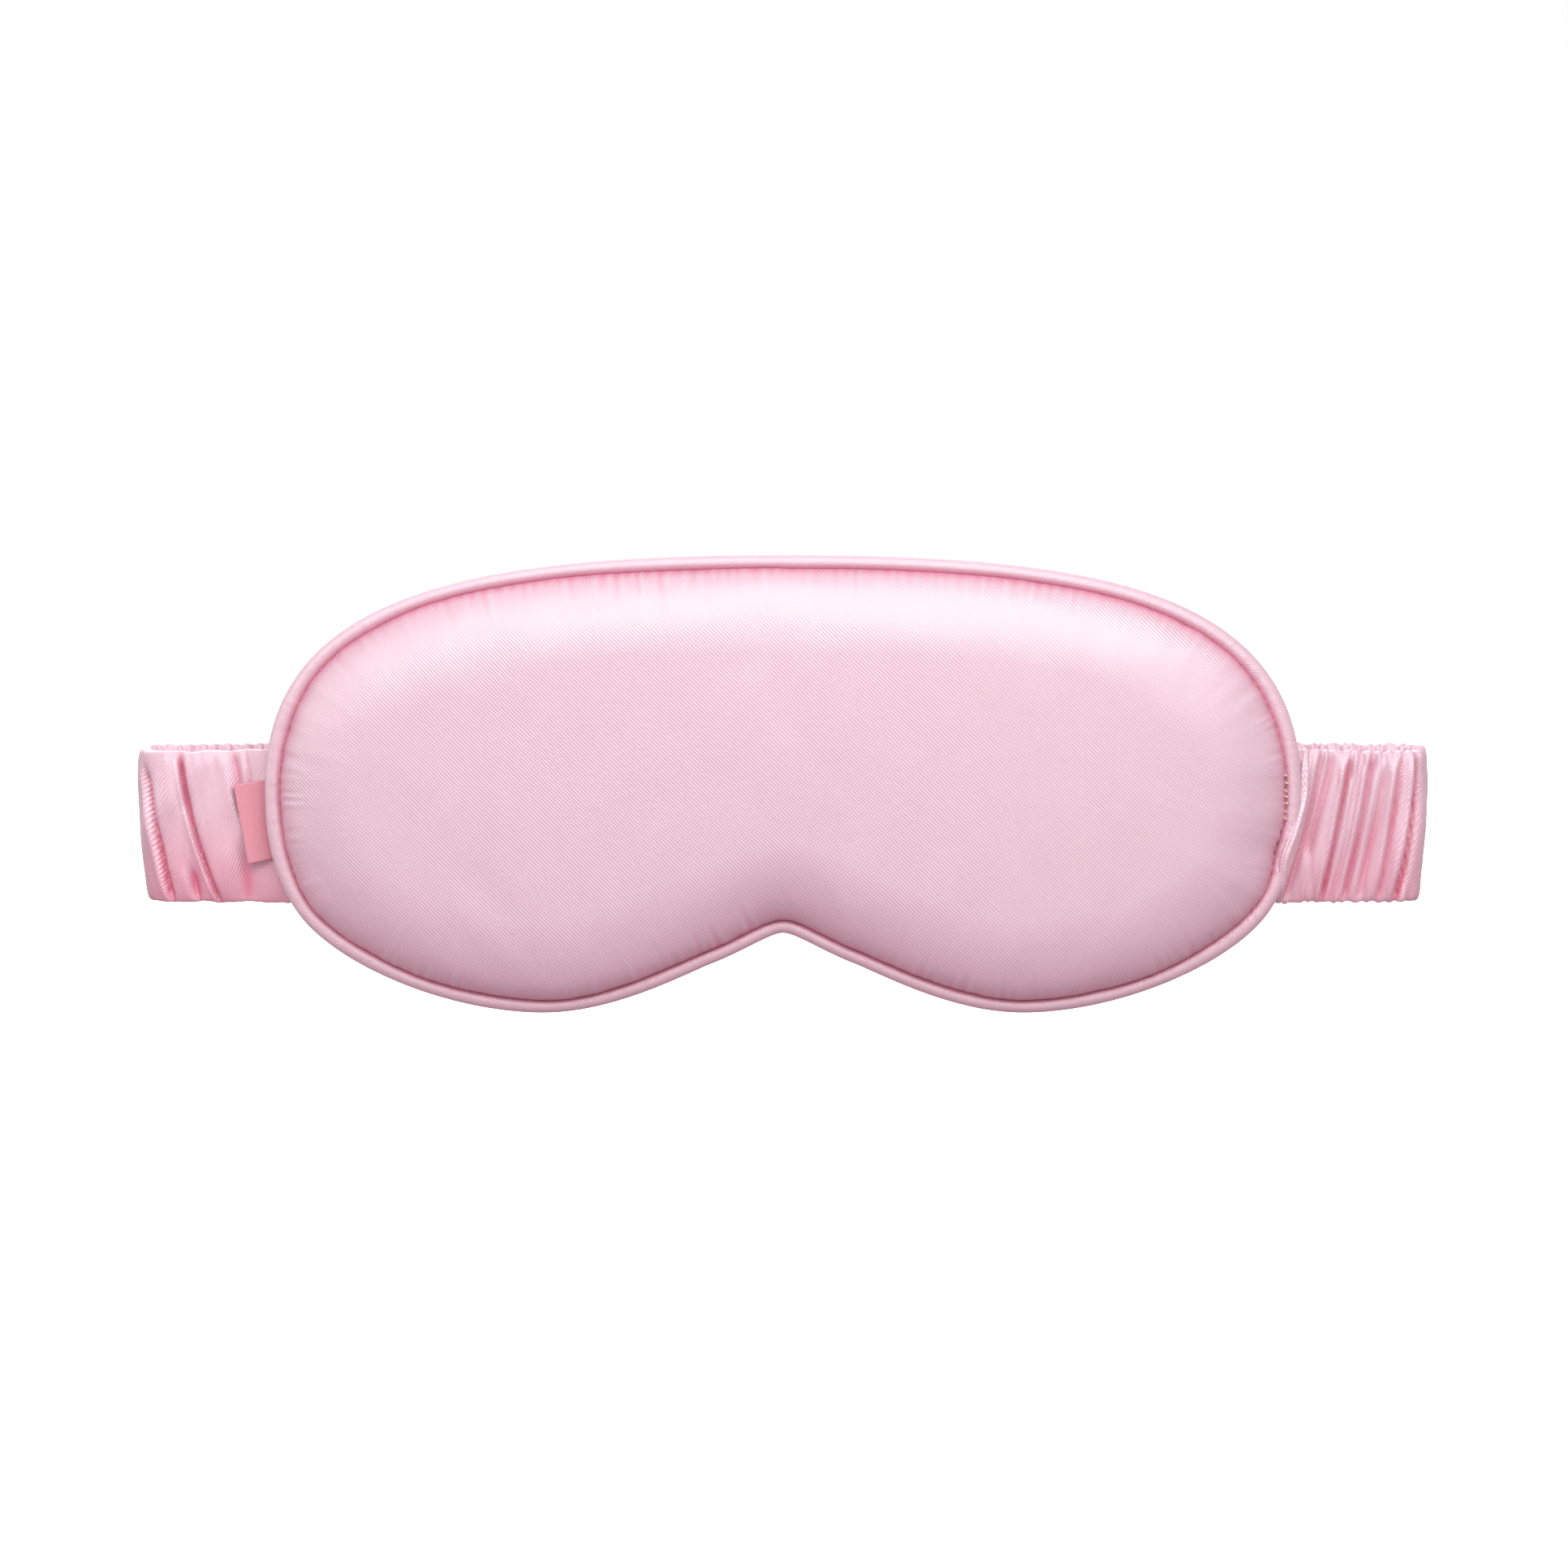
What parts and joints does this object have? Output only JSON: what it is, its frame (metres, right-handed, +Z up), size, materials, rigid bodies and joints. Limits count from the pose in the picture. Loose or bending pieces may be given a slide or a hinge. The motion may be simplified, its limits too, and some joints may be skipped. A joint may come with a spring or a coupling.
{
  "type": "sleep eye mask",
  "caption": "Padded satin sleep eye mask with a corded piping edge, a nose notch, a gathered elastic head strap and a small side label.",
  "frame": {"origin": "centre of the back panel's surface against the bridge of the nose, level with the strap's centre", "axes": "+Z up as worn, -Y out of the front panel, +Y towards the face, +X to the right seen from the front"},
  "size_m": [0.2672, 0.046, 0.0951],
  "materials": {
    "satin_front": "soft satin sheen",
    "satin_back": "soft satin sheen",
    "satin_piping": "soft satin sheen",
    "satin_strap": "gathered satin",
    "padding": "matte fibre wadding",
    "liner": "matte black felt",
    "cord": "matte twisted cotton",
    "thread_pink": "spun thread",
    "thread_tan": "spun thread",
    "thread_white": "spun thread",
    "label": "woven ribbon",
    "elastic": "woven rubber and polyester"
  },
  "bodies": {
    "mask": {"front_panel": "satin_front", "back_panel": "satin_back", "padding_core": "padding", "blackout_liner": "liner", "piping_cover": "satin_piping", "piping_cord": "cord", "seam_stitches": "thread_pink", "closing_stitches": "thread_tan", "left_strap_tail": "satin_strap", "right_strap_tail": "satin_strap", "left_bartack": "thread_white", "right_bartack": "thread_white", "label_root": "label"},
    "label": {"side_label": "label"},
    "strap_sides": {"left_side_sleeve": "satin_strap", "left_side_elastic": "elastic", "right_side_sleeve": "satin_strap", "right_side_elastic": "elastic"},
    "strap_back": {"back_sleeve": "satin_strap", "back_elastic": "elastic"}
  },
  "joints": [
    {"name": "strap_swing", "type": "hinge", "parent": "mask", "child": "strap_sides", "pos_m": [0, 0.0081, -0.0007], "axis": [1, 0, 0], "range_deg": [-25, 25], "deforming": ["left_side_sleeve", "left_side_elastic", "right_side_sleeve", "right_side_elastic"]},
    {"name": "strap_stretch", "type": "slide", "parent": "strap_sides", "child": "strap_back", "axis": [0, 1, 0], "range_m": [0, 0.11], "stiffness_N_per_m": 45, "deforming": ["left_side_sleeve", "left_side_elastic", "right_side_sleeve", "right_side_elastic"]},
    {"name": "label_flip", "type": "hinge", "parent": "mask", "child": "label", "pos_m": [-0.10822, 0.00596, 0.0006], "axis": [-0.1788, 0, 0.9839], "range_deg": [0, 90]}
  ]
}
